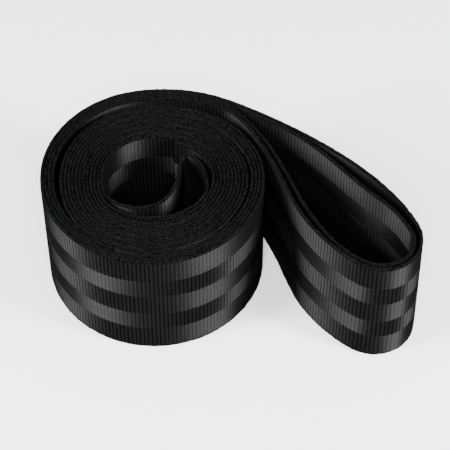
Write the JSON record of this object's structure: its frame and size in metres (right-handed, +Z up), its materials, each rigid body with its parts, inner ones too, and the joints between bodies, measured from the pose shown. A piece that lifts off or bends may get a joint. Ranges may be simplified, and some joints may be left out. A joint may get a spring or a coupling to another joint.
{
  "type": "nylon webbing strap",
  "caption": "Flat woven nylon strap, doubled twice and rolled up on its edge, with its doubled bight left out of the roll as a loop.",
  "frame": {"origin": "centre of the strap's bounding box at its bottom, on the floor that the rolled strap stands on", "axes": "+X from the roll towards the end of the loop, +Z up along the width of the strap, which is also the axis of the roll"},
  "size_m": [0.1316, 0.0818, 0.05],
  "materials": {
    "nylon_webbing": "black woven nylon, five lengthwise twill panels with ribs across them, soft sheen"
  },
  "bodies": {
    "root": {"webbing_strap": "nylon_webbing"}
  },
  "joints": []
}
